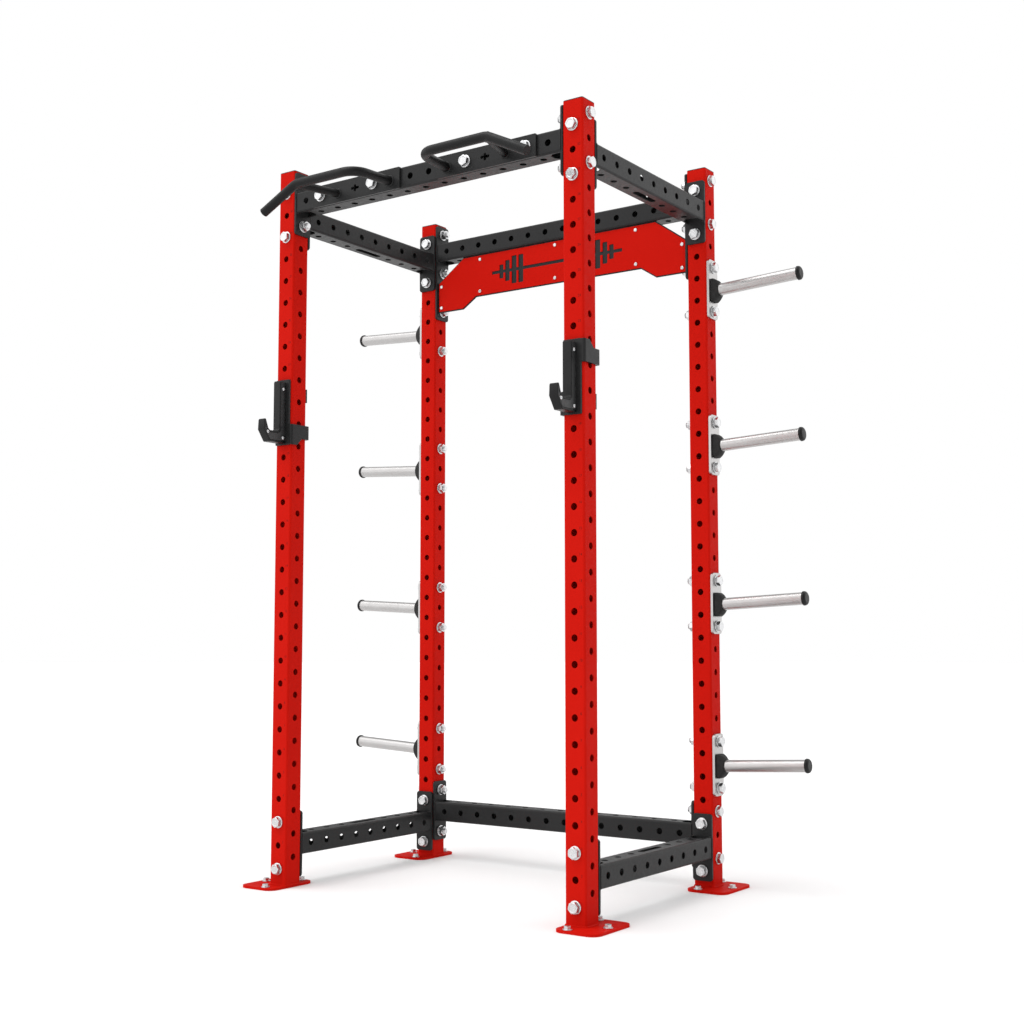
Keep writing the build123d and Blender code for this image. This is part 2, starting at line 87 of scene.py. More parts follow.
# ---------------------------------------------------------------- materials
class Graph:
    """A Principled material whose inputs are fed by procedural textures in object space."""

    def __init__(self, name, **constants):
        self.mat = bpy.data.materials.new(name)
        self.mat.use_nodes = True
        self.tree = self.mat.node_tree
        self.tree.nodes.clear()
        self.out = self.tree.nodes.new("ShaderNodeOutputMaterial")
        self.bsdf = self.tree.nodes.new("ShaderNodeBsdfPrincipled")
        self.link(self.bsdf.outputs["BSDF"], self.out.inputs["Surface"])
        self.coords = self.tree.nodes.new("ShaderNodeTexCoord").outputs["Object"]
        for socket, value in constants.items():
            self.bsdf.inputs[socket.replace("_", " ")].default_value = value

    def link(self, source, target):
        self.tree.links.new(source, target)

    def stretched(self, scale):
        mapping = self.tree.nodes.new("ShaderNodeMapping")
        mapping.inputs["Scale"].default_value = scale
        self.link(self.coords, mapping.inputs["Vector"])
        return mapping.outputs["Vector"]

    def noise(self, scale, detail=2.0, rough=0.5, vector=None):
        node = self.tree.nodes.new("ShaderNodeTexNoise")
        node.inputs["Scale"].default_value = scale
        node.inputs["Detail"].default_value = detail
        node.inputs["Roughness"].default_value = rough
        self.link(vector or self.coords, node.inputs["Vector"])
        return node.outputs["Fac"]

    def cells(self, scale):
        node = self.tree.nodes.new("ShaderNodeTexVoronoi")
        node.inputs["Scale"].default_value = scale
        self.link(self.coords, node.inputs["Vector"])
        return node.outputs["Distance"]

    def mix(self, a, b, share=0.5):
        node = self.tree.nodes.new("ShaderNodeMix")
        node.data_type = "FLOAT"
        node.inputs["Factor"].default_value = share
        self.link(a, node.inputs["A"])
        self.link(b, node.inputs["B"])
        return node.outputs["Result"]

    def ramp(self, fac, low, high, start=0.3, end=0.7):
        node = self.tree.nodes.new("ShaderNodeValToRGB")
        first, last = node.color_ramp.elements
        first.position, first.color = start, (*low, 1.0)
        last.position, last.color = end, (*high, 1.0)
        self.link(fac, node.inputs["Fac"])
        return node.outputs["Color"]

    def span(self, fac, low, high):
        node = self.tree.nodes.new("ShaderNodeMapRange")
        node.inputs["From Min"].default_value = 0.3
        node.inputs["From Max"].default_value = 0.7
        node.inputs["To Min"].default_value = low
        node.inputs["To Max"].default_value = high
        self.link(fac, node.inputs["Value"])
        return node.outputs["Result"]

    def colour(self, fac, low, high, start=0.3, end=0.7):
        self.link(self.ramp(fac, low, high, start, end), self.bsdf.inputs["Base Color"])

    def roughness(self, fac, low, high):
        self.link(self.span(fac, low, high), self.bsdf.inputs["Roughness"])

    def bump(self, height, strength, distance):
        node = self.tree.nodes.new("ShaderNodeBump")
        node.inputs["Strength"].default_value = strength
        node.inputs["Distance"].default_value = distance
        self.link(height, node.inputs["Height"])
        self.link(node.outputs["Normal"], self.bsdf.inputs["Normal"])


def red_powder():
    g = Graph("red_powder_coat", Specular_IOR_Level=0.02)
    cloud = g.mix(g.noise(3.0, 3.0), g.noise(420.0, 2.0), 0.45)
    g.colour(cloud, (0.475, 0.0062, 0.0028), (0.545, 0.0090, 0.0040))
    g.roughness(g.noise(60.0, 3.0), 0.42, 0.58)
    g.bump(g.noise(700.0, 2.0), 0.22, 0.0003)
    return g.mat


def black_powder():
    g = Graph("black_powder_coat", Specular_IOR_Level=0.16)
    cloud = g.mix(g.noise(4.0, 3.0), g.cells(900.0), 0.5)
    g.colour(cloud, (0.0130, 0.0131, 0.0134), (0.0220, 0.0222, 0.0226))
    g.roughness(g.noise(90.0, 3.0), 0.30, 0.43)
    g.bump(g.mix(g.noise(900.0, 3.0), g.cells(1300.0), 0.5), 0.30, 0.00035)
    return g.mat


def grip_powder():
    g = Graph("black_grip_coat", Specular_IOR_Level=0.20)
    cloud = g.mix(g.noise(7.0, 3.0), g.cells(600.0), 0.6)
    g.colour(cloud, (0.0028, 0.0028, 0.0030), (0.0064, 0.0064, 0.0067))
    g.roughness(g.noise(90.0, 3.0), 0.34, 0.50)
    g.bump(g.mix(g.noise(800.0, 3.0), g.cells(650.0), 0.6), 0.55, 0.0005)
    return g.mat


def textured_steel():
    g = Graph("textured_black_steel", Specular_IOR_Level=0.42)
    cloud = g.mix(g.noise(9.0, 3.0), g.cells(700.0), 0.55)
    g.colour(cloud, (0.017, 0.017, 0.0175), (0.031, 0.031, 0.032))
    g.roughness(g.noise(150.0, 3.0), 0.40, 0.56)
    g.bump(g.mix(g.noise(1100.0, 4.0), g.cells(800.0), 0.6), 0.45, 0.0004)
    return g.mat


def zinc():
    g = Graph("zinc_plated_steel", Metallic=1.0)
    cloud = g.mix(g.cells(260.0), g.noise(120.0, 3.0), 0.6)
    g.colour(cloud, (0.55, 0.553, 0.560), (0.67, 0.672, 0.678))
    g.roughness(g.noise(300.0, 3.0), 0.24, 0.35)
    g.bump(g.noise(900.0, 3.0), 0.18, 0.0002)
    return g.mat


def bright_tube():
    g = Graph("bright_steel_tube", Metallic=1.0)
    drawn = g.noise(1.0, 3.0, 0.6, g.stretched((7.0, 640.0, 640.0)))
    cloud = g.mix(drawn, g.noise(35.0, 3.0), 0.4)
    g.colour(cloud, (0.425, 0.415, 0.41), (0.490, 0.482, 0.478))
    g.roughness(g.mix(drawn, g.noise(80.0, 2.0), 0.4), 0.30, 0.41)
    g.bump(drawn, 0.05, 0.00010)
    return g.mat


def rubber():
    g = Graph("black_rubber", Specular_IOR_Level=0.30)
    cloud = g.mix(g.noise(30.0, 3.0), g.noise(800.0, 2.0), 0.5)
    g.colour(cloud, (0.008, 0.008, 0.008), (0.017, 0.0168, 0.0165))
    g.roughness(g.noise(70.0, 3.0), 0.62, 0.82)
    g.bump(g.mix(g.cells(1500.0), g.noise(500.0, 3.0), 0.5), 0.40, 0.0004)
    return g.mat


def plastic():
    g = Graph("black_plastic", Specular_IOR_Level=0.22)
    cloud = g.mix(g.noise(25.0, 3.0), g.cells(900.0), 0.4)
    g.colour(cloud, (0.0035, 0.0035, 0.0037), (0.0080, 0.0080, 0.0083))
    g.roughness(g.noise(100.0, 3.0), 0.34, 0.50)
    g.bump(g.cells(1100.0), 0.28, 0.0003)
    return g.mat


def etched():
    g = Graph("etched_numbers", Specular_IOR_Level=0.10)
    g.colour(g.noise(900.0, 3.0), (0.10, 0.004, 0.003), (0.22, 0.006, 0.004))
    g.roughness(g.noise(500.0, 2.0), 0.65, 0.85)
    g.bump(g.noise(1500.0, 2.0), 0.2, 0.0001)
    return g.mat


def pale_floor():
    g = Graph("pale_floor", Specular_IOR_Level=0.10)
    g.colour(g.noise(2.0, 3.0), (0.815, 0.815, 0.815), (0.835, 0.835, 0.835))
    g.roughness(g.noise(8.0, 2.0), 0.75, 0.90)
    return g.mat


RED = red_powder()
BLACK = black_powder()
GRIP = grip_powder()
CUP_STEEL = textured_steel()
ZINC = zinc()
BRIGHT = bright_tube()
RUBBER = rubber()
PLASTIC = plastic()
ETCHED = etched()
FLOOR = pale_floor()
SLOT_MATERIALS = {
    "red_powder_coat": RED, "black_powder_coat": BLACK, "zinc_plated_steel": ZINC,
    "bright_steel_tube": BRIGHT, "black_rubber": RUBBER, "black_plastic": PLASTIC,
}


def paint(piece, mat):
    piece.data.materials.clear()
    piece.data.materials.append(mat)


# ---------------------------------------------------------------- CAD nodes: finish and edge breaks
def break_edges(piece, width):
    """Rounds the sharp edges of a CAD mesh, after joining the triangles of each flat face."""
    weld = piece.modifiers.new("weld", "WELD")
    weld.merge_threshold = 0.00001
    flat = piece.modifiers.new("flat_faces", "DECIMATE")
    flat.decimate_type = "DISSOLVE"
    flat.angle_limit = math.radians(0.4)
    bevel = piece.modifiers.new("edge_break", "BEVEL")
    bevel.limit_method = "ANGLE"
    bevel.angle_limit = math.radians(40)
    bevel.width = width
    bevel.segments = 2
    bevel.use_clamp_overlap = False
    normals = piece.modifiers.new("normals", "WEIGHTED_NORMAL")
    normals.weight = 100
    normals.keep_sharp = False


EDGE_BREAKS = (          # word in a node's name, radius of its edges
    ("guard", 0.0020), ("hook", 0.0010), ("bracket", 0.0010),
    ("plate", 0.0006), ("beam", 0.0006), ("anchor", 0.0006),
)
SPECIAL_COATS = (("j_cup_hook", CUP_STEEL), ("grip_handle", GRIP), ("grip_strut", GRIP))

for part in frame["record"]["subparts"]:
    piece = nodes[part["node"]]
    slot = part["material_slot"]
    coats = [mat for word, mat in SPECIAL_COATS if word in piece.name]
    paint(piece, coats[0] if coats else SLOT_MATERIALS[slot])
    widths = [width for word, width in EDGE_BREAKS if word in piece.name]
    if widths:
        break_edges(piece, widths[0])


# ---------------------------------------------------------------- mesh helpers
def new_piece(name, bm, mat, body="frame", smooth_deg=32):
    mesh = bpy.data.meshes.new(name)
    bmesh.ops.recalc_face_normals(bm, faces=bm.faces)
    bm.normal_update()
    for face in bm.faces:
        face.smooth = True
    sharp = math.radians(smooth_deg)
    for edge in bm.edges:
        if len(edge.link_faces) == 2 and edge.calc_face_angle(0) > sharp:
            edge.smooth = False
    bm.to_mesh(mesh)
    bm.free()
    piece = bpy.data.objects.new(name, mesh)
    bpy.context.scene.collection.objects.link(piece)
    paint(piece, mat)
    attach(piece, body)
    return piece


MERGE = 0.000005         # vertices of a CAD mesh closer than this are one
FINE_MERGE = 0.0000005   # the same in the rings of a closed piece


def islands(name):
    """The vertex positions of each separate solid in a CAD node."""
    bm = bmesh.new()
    bm.from_mesh(nodes[name].data)
    bmesh.ops.remove_doubles(bm, verts=bm.verts, dist=MERGE)
    bm.verts.ensure_lookup_table()
    seen = set()
    found = []
    for start in bm.verts:
        if start.index in seen:
            continue
        seen.add(start.index)
        stack = [start]
        points = []
        while stack:
            vert = stack.pop()
            points.append(vert.co.copy())
            for edge in vert.link_edges:
                other = edge.other_vert(vert)
                if other.index not in seen:
                    seen.add(other.index)
                    stack.append(other)
        found.append(points)
    bm.free()
    return found


def box_of(points):
    low = Vector(min(p[i] for p in points) for i in range(3))
    high = Vector(max(p[i] for p in points) for i in range(3))
    return low, high


def add_rings(bm, rings, close_first=True, close_last=True):
    """Skins a list of rings, each a list of points, all with the same count."""
    made = [[bm.verts.new(p) for p in ring] for ring in rings]
    count = len(made[0])
    for a, b in zip(made, made[1:]):
        for i in range(count):
            j = (i + 1) % count
            bm.faces.new((a[i], a[j], b[j], b[i]))
    if close_first:
        bm.faces.new(list(reversed(made[0])))
    if close_last:
        bm.faces.new(made[-1])
    return made


# ---------------------------------------------------------------- hexagon heads, nuts, threads, washers
HEX_STEPS = 60
HEX_FLAT = HEX_R * math.cos(math.pi / 6)     # middle to flat
TURNED_R = 0.955 * HEX_FLAT                  # circle turned on the face of a head or nut
TURNED_SLOPE = math.tan(math.radians(30))
SEAT_R = 0.95 * HEX_FLAT                     # round seat under a head
SEAT_T = 0.0006
CORNER_BREAK = 0.0003
DISH = 0.0006
DISH_RADII = (0.80 * TURNED_R, 0.72 * TURNED_R, 0.20 * TURNED_R)
THREADED = 0.030                             # threaded length of a bolt
OVERLAP = 0.001                              # how far one solid of a bolt runs into the next
BOLT_TURNS = (11, 37)                        # degrees: the first head's turn, and the step to the next
NUT_TURNS = (23, 41)


def hex_angle(step):
    return 2 * math.pi * step / HEX_STEPS


def hex_reach(angle):
    return HEX_FLAT / math.cos((angle % (math.pi / 3)) - math.pi / 6)


def polar(radius, angle, z):
    return Vector((radius * math.cos(angle), radius * math.sin(angle), z))


def corner_drop(angle):
    """How far the turned cone has come down where it meets the hexagon's side."""
    return (hex_reach(angle) - TURNED_R) * TURNED_SLOPE


def head_rings():
    """A bolt head from its seat at Z = 0 up to its dished face."""
    angles = [hex_angle(s) for s in range(HEX_STEPS)]
    top = BOLT_HEAD_T
    rings = [[polar(SEAT_R, a, 0) for a in angles]]
    rings.append([polar(SEAT_R, a, SEAT_T) for a in angles])
    rings.append([polar(hex_reach(a) - CORNER_BREAK, a, SEAT_T) for a in angles])
    rings.append([polar(hex_reach(a), a, SEAT_T + CORNER_BREAK) for a in angles])
    rings.append([polar(hex_reach(a), a, top - corner_drop(a)) for a in angles])
    rings.append([polar(TURNED_R, a, top) for a in angles])
    for radius, z in zip(DISH_RADII, (top, top - DISH, top - DISH)):
        rings.append([polar(radius, a, z) for a in angles])
    return rings


def nut_rings():
    """The outside of a nut, turned at both ends."""
    angles = [hex_angle(s) for s in range(HEX_STEPS)]
    rings = [[polar(TURNED_R, a, 0) for a in angles]]
    rings.append([polar(hex_reach(a), a, corner_drop(a)) for a in angles])
    rings.append([polar(hex_reach(a), a, NUT_T - corner_drop(a)) for a in angles])
    rings.append([polar(TURNED_R, a, NUT_T) for a in angles])
    return rings


def placed(rings, place):
    return [[place @ p for p in ring] for ring in rings]


def turned(turns, number):
    """How far round the head or nut of this number was left when it was tightened."""
    first, step = turns
    return Matrix.Rotation(math.radians(first + step * number), 4, "Z")


THREAD_STEPS = 24
RINGS_PER_TURN = 8
CREST_FLAT = 0.12        # share of the flank cut away at the crests, to leave them flat
TIP_CHAMFER = 0.0016


def thread_rings(start, length):
    """Rings of a threaded rod whose helix climbs THREAD_PITCH a turn, with a turned tip."""
    rings = []
    count = round(length / THREAD_PITCH * RINGS_PER_TURN)
    for k in range(count + 1):
        z = start + length * k / count
        ring = []
        for s in range(THREAD_STEPS):
            angle = 2 * math.pi * s / THREAD_STEPS
            phase = (z / THREAD_PITCH - s / THREAD_STEPS) % 1.0
            wave = abs(2 * phase - 1)
            depth = THREAD_DEPTH * min(1.0, max(0.0, (1 + 2 * CREST_FLAT) * wave - CREST_FLAT))
            tip = max(0.0, z - (start + length - TIP_CHAMFER))
            ring.append(polar(min(BOLT_R - depth, BOLT_R - tip), angle, z))
        rings.append(ring)
    return rings


HEAD_FINDER_R = 0.013    # wider than a bolt's shank, narrower than its head


def bolt_frames(name):
    """Each bolt's placing matrix (Z from head to thread, origin under its head) and length."""
    frames = []
    for points in islands(name):
        low, high = box_of(points)
        size = high - low
        axis = max(range(3), key=lambda i: size[i])
        middle = (low + high) / 2
        across = [i for i in range(3) if i != axis]
        head = [p for p in points if math.hypot(*(p[i] - middle[i] for i in across)) > HEAD_FINDER_R]
        at_low = head[0][axis] < middle[axis]
        way = Vector([0, 0, 0])
        way[axis] = 1.0 if at_low else -1.0
        origin = middle.copy()
        origin[axis] = (low[axis] + BOLT_HEAD_T) if at_low else (high[axis] - BOLT_HEAD_T)
        turn = way.to_track_quat("Z", "Y").to_matrix().to_4x4()
        frames.append((Matrix.Translation(origin) @ turn, size[axis] - BOLT_HEAD_T))
    return frames


def build_bolts(name, source):
    bm = bmesh.new()
    for number, (place, length) in enumerate(bolt_frames(source)):
        spin = turned(BOLT_TURNS, number)
        down = Matrix.Rotation(math.pi, 4, "X")
        add_rings(bm, placed(head_rings(), place @ spin @ down))
        shank = length - THREADED
        plain = [[polar(SHANK_R, 2 * math.pi * s / THREAD_STEPS, z) for s in range(THREAD_STEPS)]
                 for z in (-OVERLAP, shank)]
        add_rings(bm, placed(plain, place))
        add_rings(bm, placed(thread_rings(shank - OVERLAP, THREADED + OVERLAP), place))
    piece = new_piece(name, bm, ZINC, smooth_deg=24)
    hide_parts(source)


def flat_frames(name):
    """Placing matrix of each nut or washer: Z along its short side, origin at its lower end."""
    frames = []
    for points in islands(name):
        low, high = box_of(points)
        size = high - low
        axis = min(range(3), key=lambda i: size[i])
        way = Vector([0, 0, 0])
        way[axis] = 1.0
        origin = (low + high) / 2
        origin[axis] = low[axis]
        turn = way.to_track_quat("Z", "Y").to_matrix().to_4x4()
        frames.append(Matrix.Translation(origin) @ turn)
    return frames


def build_nuts(name, source):
    bm = bmesh.new()
    countersink = 0.0008
    bore = [polar(BOLT_R + 0.0001, hex_angle(s), 0) for s in range(HEX_STEPS)]
    mouth = [polar(BOLT_R + 0.0001 + countersink, hex_angle(s), 0) for s in range(HEX_STEPS)]
    up = Vector((0, 0, 1))
    for number, place in enumerate(flat_frames(source)):
        spin = turned(NUT_TURNS, number)
        rings = nut_rings()
        rings += [[p + up * NUT_T for p in mouth], [p + up * (NUT_T - countersink) for p in bore]]
        rings += [[p + up * countersink for p in bore], [p.copy() for p in mouth]]
        rings.append([p.copy() for p in rings[0]])
        add_rings(bm, placed(rings, place @ spin), False, False)
    bmesh.ops.remove_doubles(bm, verts=bm.verts, dist=FINE_MERGE)
    piece = new_piece(name, bm, ZINC, smooth_deg=24)
    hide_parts(source)


def build_washers(name, source):
    bm = bmesh.new()
    inner, edge = BOLT_R + 0.0003, 0.0006
    section = [
        (inner, edge), (inner + edge, 0), (WASHER_R - edge, 0), (WASHER_R, edge),
        (WASHER_R, WASHER_T - edge), (WASHER_R - edge, WASHER_T), (inner + edge, WASHER_T),
        (inner, WASHER_T - edge), (inner, edge),
    ]
    for place in flat_frames(source):
        rings = [[polar(r, hex_angle(s), z) for s in range(HEX_STEPS)] for r, z in section]
        add_rings(bm, placed(rings, place), False, False)
    bmesh.ops.remove_doubles(bm, verts=bm.verts, dist=FINE_MERGE)
    piece = new_piece(name, bm, ZINC, smooth_deg=50)
    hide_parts(source)


for group in ("frame", "peg"):
    build_bolts(f"{group}_hex_bolts", f"{group}_bolts")
    build_nuts(f"{group}_hex_nuts", f"{group}_nuts")
    build_washers(f"{group}_flat_washers", f"{group}_washers")


# ---------------------------------------------------------------- button-head screws of the J-cups
SCREW_R = 0.003
SCREW_HEAD_R = 0.006
SCREW_HEAD_T = 0.004
SCREW_WALL = 0.0008      # straight side of the head below its dome
SOCKET_R = 0.0024
SOCKET_DEPTH = 0.002
DOME_STEPS = 7
DOME_END = math.radians(60)


def button_head():
    """A domed head with a hexagon socket, from its seat at Z = 0 up."""
    angles = [hex_angle(s) for s in range(HEX_STEPS)]
    rise = (SCREW_HEAD_T - SCREW_WALL) / math.sin(DOME_END)
    rings = [[polar(SCREW_HEAD_R, a, 0) for a in angles]]
    for k in range(DOME_STEPS + 1):
        lift = DOME_END * k / DOME_STEPS
        z = SCREW_WALL + rise * math.sin(lift)
        rings.append([polar(SCREW_HEAD_R * math.cos(lift), a, z) for a in angles])
    for z in (SCREW_HEAD_T, SCREW_HEAD_T - SOCKET_DEPTH):
        rings.append([polar(hex_reach(a) * SOCKET_R / HEX_R, a, z) for a in angles])
    return rings


def build_screws(label):
    source = f"{label}_j_cup_screws"
    bm = bmesh.new()
    for points in islands(source):
        low, high = box_of(points)
        middle = (low + high) / 2
        for end, way in ((low.x + SCREW_HEAD_T, -1), (high.x - SCREW_HEAD_T, 1)):
            place = Matrix.Translation((end, middle.y, middle.z)) @ Matrix.Rotation(way * math.pi / 2, 4, "Y")
            add_rings(bm, placed(button_head(), place))
        place = Matrix.Translation((low.x, middle.y, middle.z)) @ Matrix.Rotation(math.pi / 2, 4, "Y")
        shank = [[polar(SCREW_R, hex_angle(s), z) for s in range(HEX_STEPS)]
                 for z in (SCREW_HEAD_T - OVERLAP, high.x - low.x - SCREW_HEAD_T + OVERLAP)]
        add_rings(bm, placed(shank, place))
    piece = new_piece(f"{label}_button_screws", bm, ZINC, f"{label}_j_cup", 24)
    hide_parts(source)


for label in ("left", "right"):
    build_screws(label)


# ---------------------------------------------------------------- weld beads
BEAD_R = 0.0034
BEAM_BEAD_R = 0.0027
HANDLE_BEAD_R = 0.0030
STRUT_BEAD_R = 0.0028
SADDLE_BEAD_R = 0.0024
RIPPLE = 0.0042          # length of one weld ripple
RIPPLE_HEIGHT = 0.13     # share of the bead's radius
BEAD_STEP = 0.0014
BEAD_SIDES = 8
END_SHARE = 0.35         # radius of an open bead at its very end, and its growth a ring from there
END_GROWTH = 0.25
FOOT_RAISE = 0.0004      # foot bead's middle line above the base plate


def resample(points, closed):
    """Points at an even spacing along a polyline."""
    line = points + [points[0]] if closed else points
    lengths = [(b - a).length for a, b in zip(line, line[1:])]
    total = sum(lengths)
    count = max(4, round(total / BEAD_STEP))
    made = []
    index, passed = 0, 0.0
    for k in range(count if closed else count + 1):
        target = total * k / count
        while index < len(lengths) - 1 and passed + lengths[index] < target:
            passed += lengths[index]
            index += 1
        share = (target - passed) / lengths[index] if lengths[index] else 0
        made.append(line[index].lerp(line[index + 1], min(1, share)))
    return made, total


def add_bead(bm, points, closed=True, radius=BEAD_R):
    """A rippled weld bead along a line."""
    line, total = resample(points, closed)
    count = len(line)
    sides = BEAD_SIDES
    rings = []
    side = None
    for k, point in enumerate(line):
        if closed:
            along = (line[(k + 1) % count] - line[k - 1]).normalized()
        else:
            along = (line[min(k + 1, count - 1)] - line[max(k - 1, 0)]).normalized()
        if side is None:
            side = along.orthogonal().normalized()
        side = (side - along * side.dot(along)).normalized()
        other = along.cross(side)
        travelled = total * k / count
        size = radius * (1 + RIPPLE_HEIGHT * abs(math.sin(math.pi * travelled / RIPPLE)))
        if not closed:
            size *= min(1.0, END_SHARE + min(k, count - 1 - k) * END_GROWTH)
        turns = [2 * math.pi * s / sides for s in range(sides)]
        rings.append([point + size * (math.cos(t) * side + math.sin(t) * other) for t in turns])
    if closed:
        made = add_rings(bm, rings, False, False)
        first, last = made[0], made[-1]
        shift = min(range(sides), key=lambda t: sum(
            (last[i].co - first[(i + t) % sides].co).length for i in range(sides)))
        for i in range(sides):
            j = (i + 1) % sides
            bm.faces.new((last[i], last[j], first[(j + shift) % sides], first[(i + shift) % sides]))
    else:
        add_rings(bm, rings)


CORNERS = ((1, 1, 0), (-1, 1, 90), (-1, -1, 180), (1, -1, 270))     # signs, and where the arc starts
TUBE_CORNER_STEPS = 4


def rounded_square(half, corner):
    """Outline of the square tube, counter-clockwise."""
    points = []
    reach = half - corner
    for cx, cy, start in CORNERS:
        for k in range(TUBE_CORNER_STEPS + 1):
            angle = math.radians(start + 90 * k / TUBE_CORNER_STEPS)
            points.append((cx * reach + corner * math.cos(angle), cy * reach + corner * math.sin(angle)))
    return points


def upright_welds():
    outline = rounded_square(TUBE / 2, TUBE_CORNER)
    for depth, y in (("front", -UPRIGHT_Y), ("rear", UPRIGHT_Y)):
        for label, side in (("left", -1), ("right", 1)):
            bm = bmesh.new()
            centre = Vector((side * UPRIGHT_X, y + SHIFT_Y, BASE_T + FOOT_RAISE))
            add_bead(bm, [centre + Vector((px, py, 0)) for px, py in outline])
            new_piece(f"{depth}_{label}_foot_weld", bm, RED)


def half_outline():
    """One side of a beam's tube, from relief edge to relief edge, as (across, up)."""
    edge = RELIEF_WIDTH / 2
    half = TUBE / 2
    points = [(edge, half)]
    for k in range(TUBE_CORNER_STEPS + 1):
        angle = math.radians(90 - 90 * k / TUBE_CORNER_STEPS)
        points.append((half - TUBE_CORNER + TUBE_CORNER * math.cos(angle),
                       half - TUBE_CORNER + TUBE_CORNER * math.sin(angle)))
    points += [(a, -b) for a, b in reversed(points)]
    return points


def beam_welds(name, centre, along, span):
    """Beads between a beam's tube and its two end plates."""
    bm = bmesh.new()
    across = Vector((-along.y, along.x, 0))
    for end in (-1, 1):
        foot = centre + along * (end * (span / 2 - PLATE_T))
        for side in (-1, 1):
            points = [foot + across * (side * a) + Vector((0, 0, b)) for a, b in half_outline()]
            add_bead(bm, points, closed=False, radius=BEAM_BEAD_R)
    new_piece(name, bm, BLACK)


upright_welds()
AX, AY = Vector((1, 0, 0)), Vector((0, 1, 0))
beam_welds("front_top_beam_welds", Vector((0, -UPRIGHT_Y + SHIFT_Y, CROSS_TOP_Z)), AX, INNER_WIDTH)
beam_welds("rear_top_beam_welds", Vector((0, UPRIGHT_Y + SHIFT_Y, CROSS_TOP_Z)), AX, INNER_WIDTH)
beam_welds("rear_bottom_beam_welds", Vector((0, UPRIGHT_Y + SHIFT_Y, CROSS_BOTTOM_Z)), AX, INNER_WIDTH)
for label, side in (("left", -1), ("right", 1)):
    for level, z in (("top", SIDE_TOP_Z), ("bottom", SIDE_BOTTOM_Z)):
        middle = Vector((side * UPRIGHT_X, SHIFT_Y, z))
        beam_welds(f"{label}_{level}_side_beam_welds", middle, AY, INNER_DEPTH)


SADDLE_STEPS = 40
BEAD_RAISE = 0.0006      # grip bead's middle line out from the plate and the bar
HANDLE_LEAN = 1.005      # sideways stretch of the ring where a bar leans as it meets the plate
STRUT_LEAN = 1.036
STRUT_RING_SHIFT = 0.0005
SADDLE_CLEAR = 0.0004    # how far outside the strut its saddle bead runs
RAY_REACH = 0.3


def tree_of(name):
    mesh = nodes[name].data
    corners = [v.co.copy() for v in mesh.vertices]
    return BVHTree.FromPolygons(corners, [tuple(p.vertices) for p in mesh.polygons])


def ring_on_plate(x, radius, lean):
    """Ring where a round bar meets the grip plate."""
    y = FRONT_Y - PLATE_T + SHIFT_Y - BEAD_RAISE
    ring = []
    for s in range(SADDLE_STEPS):
        angle = 2 * math.pi * s / SADDLE_STEPS
        ring.append(Vector((x + radius * lean * math.cos(angle), y, GRIP_Z + radius * math.sin(angle))))
    return ring


def saddle_on_handle(side):
    """Line where the strut runs into the handle, found by casting rays along the strut."""
    tree = tree_of(("left" if side < 0 else "right") + "_grip_handle")
    flip = Vector((side, 1, 1))
    foot = STRUT_FOOT * flip + Vector((0, SHIFT_Y, 0))
    run = ((STRUT_HEAD - STRUT_FOOT) * flip).normalized()
    up = Vector((0, 0, 1))
    level = run.cross(up).normalized()
    radius = STRUT_R + SADDLE_CLEAR
    points = []
    for s in range(SADDLE_STEPS):
        angle = 2 * math.pi * s / SADDLE_STEPS
        start = foot + radius * (math.cos(angle) * level + math.sin(angle) * up)
        hit = tree.ray_cast(start, run, RAY_REACH)[0]
        if hit is not None:
            points.append(hit)
    return points


for label, side in (("left", -1), ("right", 1)):
    bm = bmesh.new()
    handle_ring = ring_on_plate(side * GRIP_WELD_X, GRIP_R + BEAD_RAISE, HANDLE_LEAN)
    strut_x = side * (STRUT_FOOT.x + STRUT_RING_SHIFT)
    strut_ring = ring_on_plate(strut_x, STRUT_R + BEAD_RAISE, STRUT_LEAN)
    add_bead(bm, handle_ring, radius=HANDLE_BEAD_R)
    add_bead(bm, strut_ring, radius=STRUT_BEAD_R)
    add_bead(bm, saddle_on_handle(side), radius=SADDLE_BEAD_R)
    new_piece(f"{label}_grip_welds", bm, BLACK)


# ---------------------------------------------------------------- hole numbers on the front uprights
NUMBER_SIZE = 0.011
NUMBER_PROUD = 0.00012
NUMBER_RIGHT = 0.0215    # middle of a number from the middle of its hole
NUMBER_UP = 0.012


def number_mesh(text):
    curve = bpy.data.curves.new("number_" + text, "FONT")
    curve.body = text
    curve.size = NUMBER_SIZE
    curve.align_x = "CENTER"
    curve.align_y = "CENTER"
    curve.extrude = NUMBER_PROUD
    holder = bpy.data.objects.new("number_" + text, curve)
    bpy.context.scene.collection.objects.link(holder)
    bpy.context.view_layer.update()
    mesh = bpy.data.meshes.new_from_object(holder)
    bpy.data.objects.remove(holder)
    return mesh


number_meshes = [number_mesh(str(HOLE_ROWS - row)) for row in range(HOLE_ROWS)]
upright_turn = Matrix.Rotation(math.pi / 2, 4, "X")
for label, side in (("left", -1), ("right", 1)):
    bm = bmesh.new()
    for row, mesh in enumerate(number_meshes):
        height = FRONT_HOLE_TOP - PITCH * row + NUMBER_UP
        place = Matrix.Translation((side * UPRIGHT_X + NUMBER_RIGHT, FRONT_Y + SHIFT_Y, height))
        before = len(bm.verts)
        bm.from_mesh(mesh)
        bm.verts.ensure_lookup_table()
        bmesh.ops.transform(bm, matrix=place @ upright_turn, verts=bm.verts[before:])
    new_piece(f"{label}_hole_numbers", bm, ETCHED)


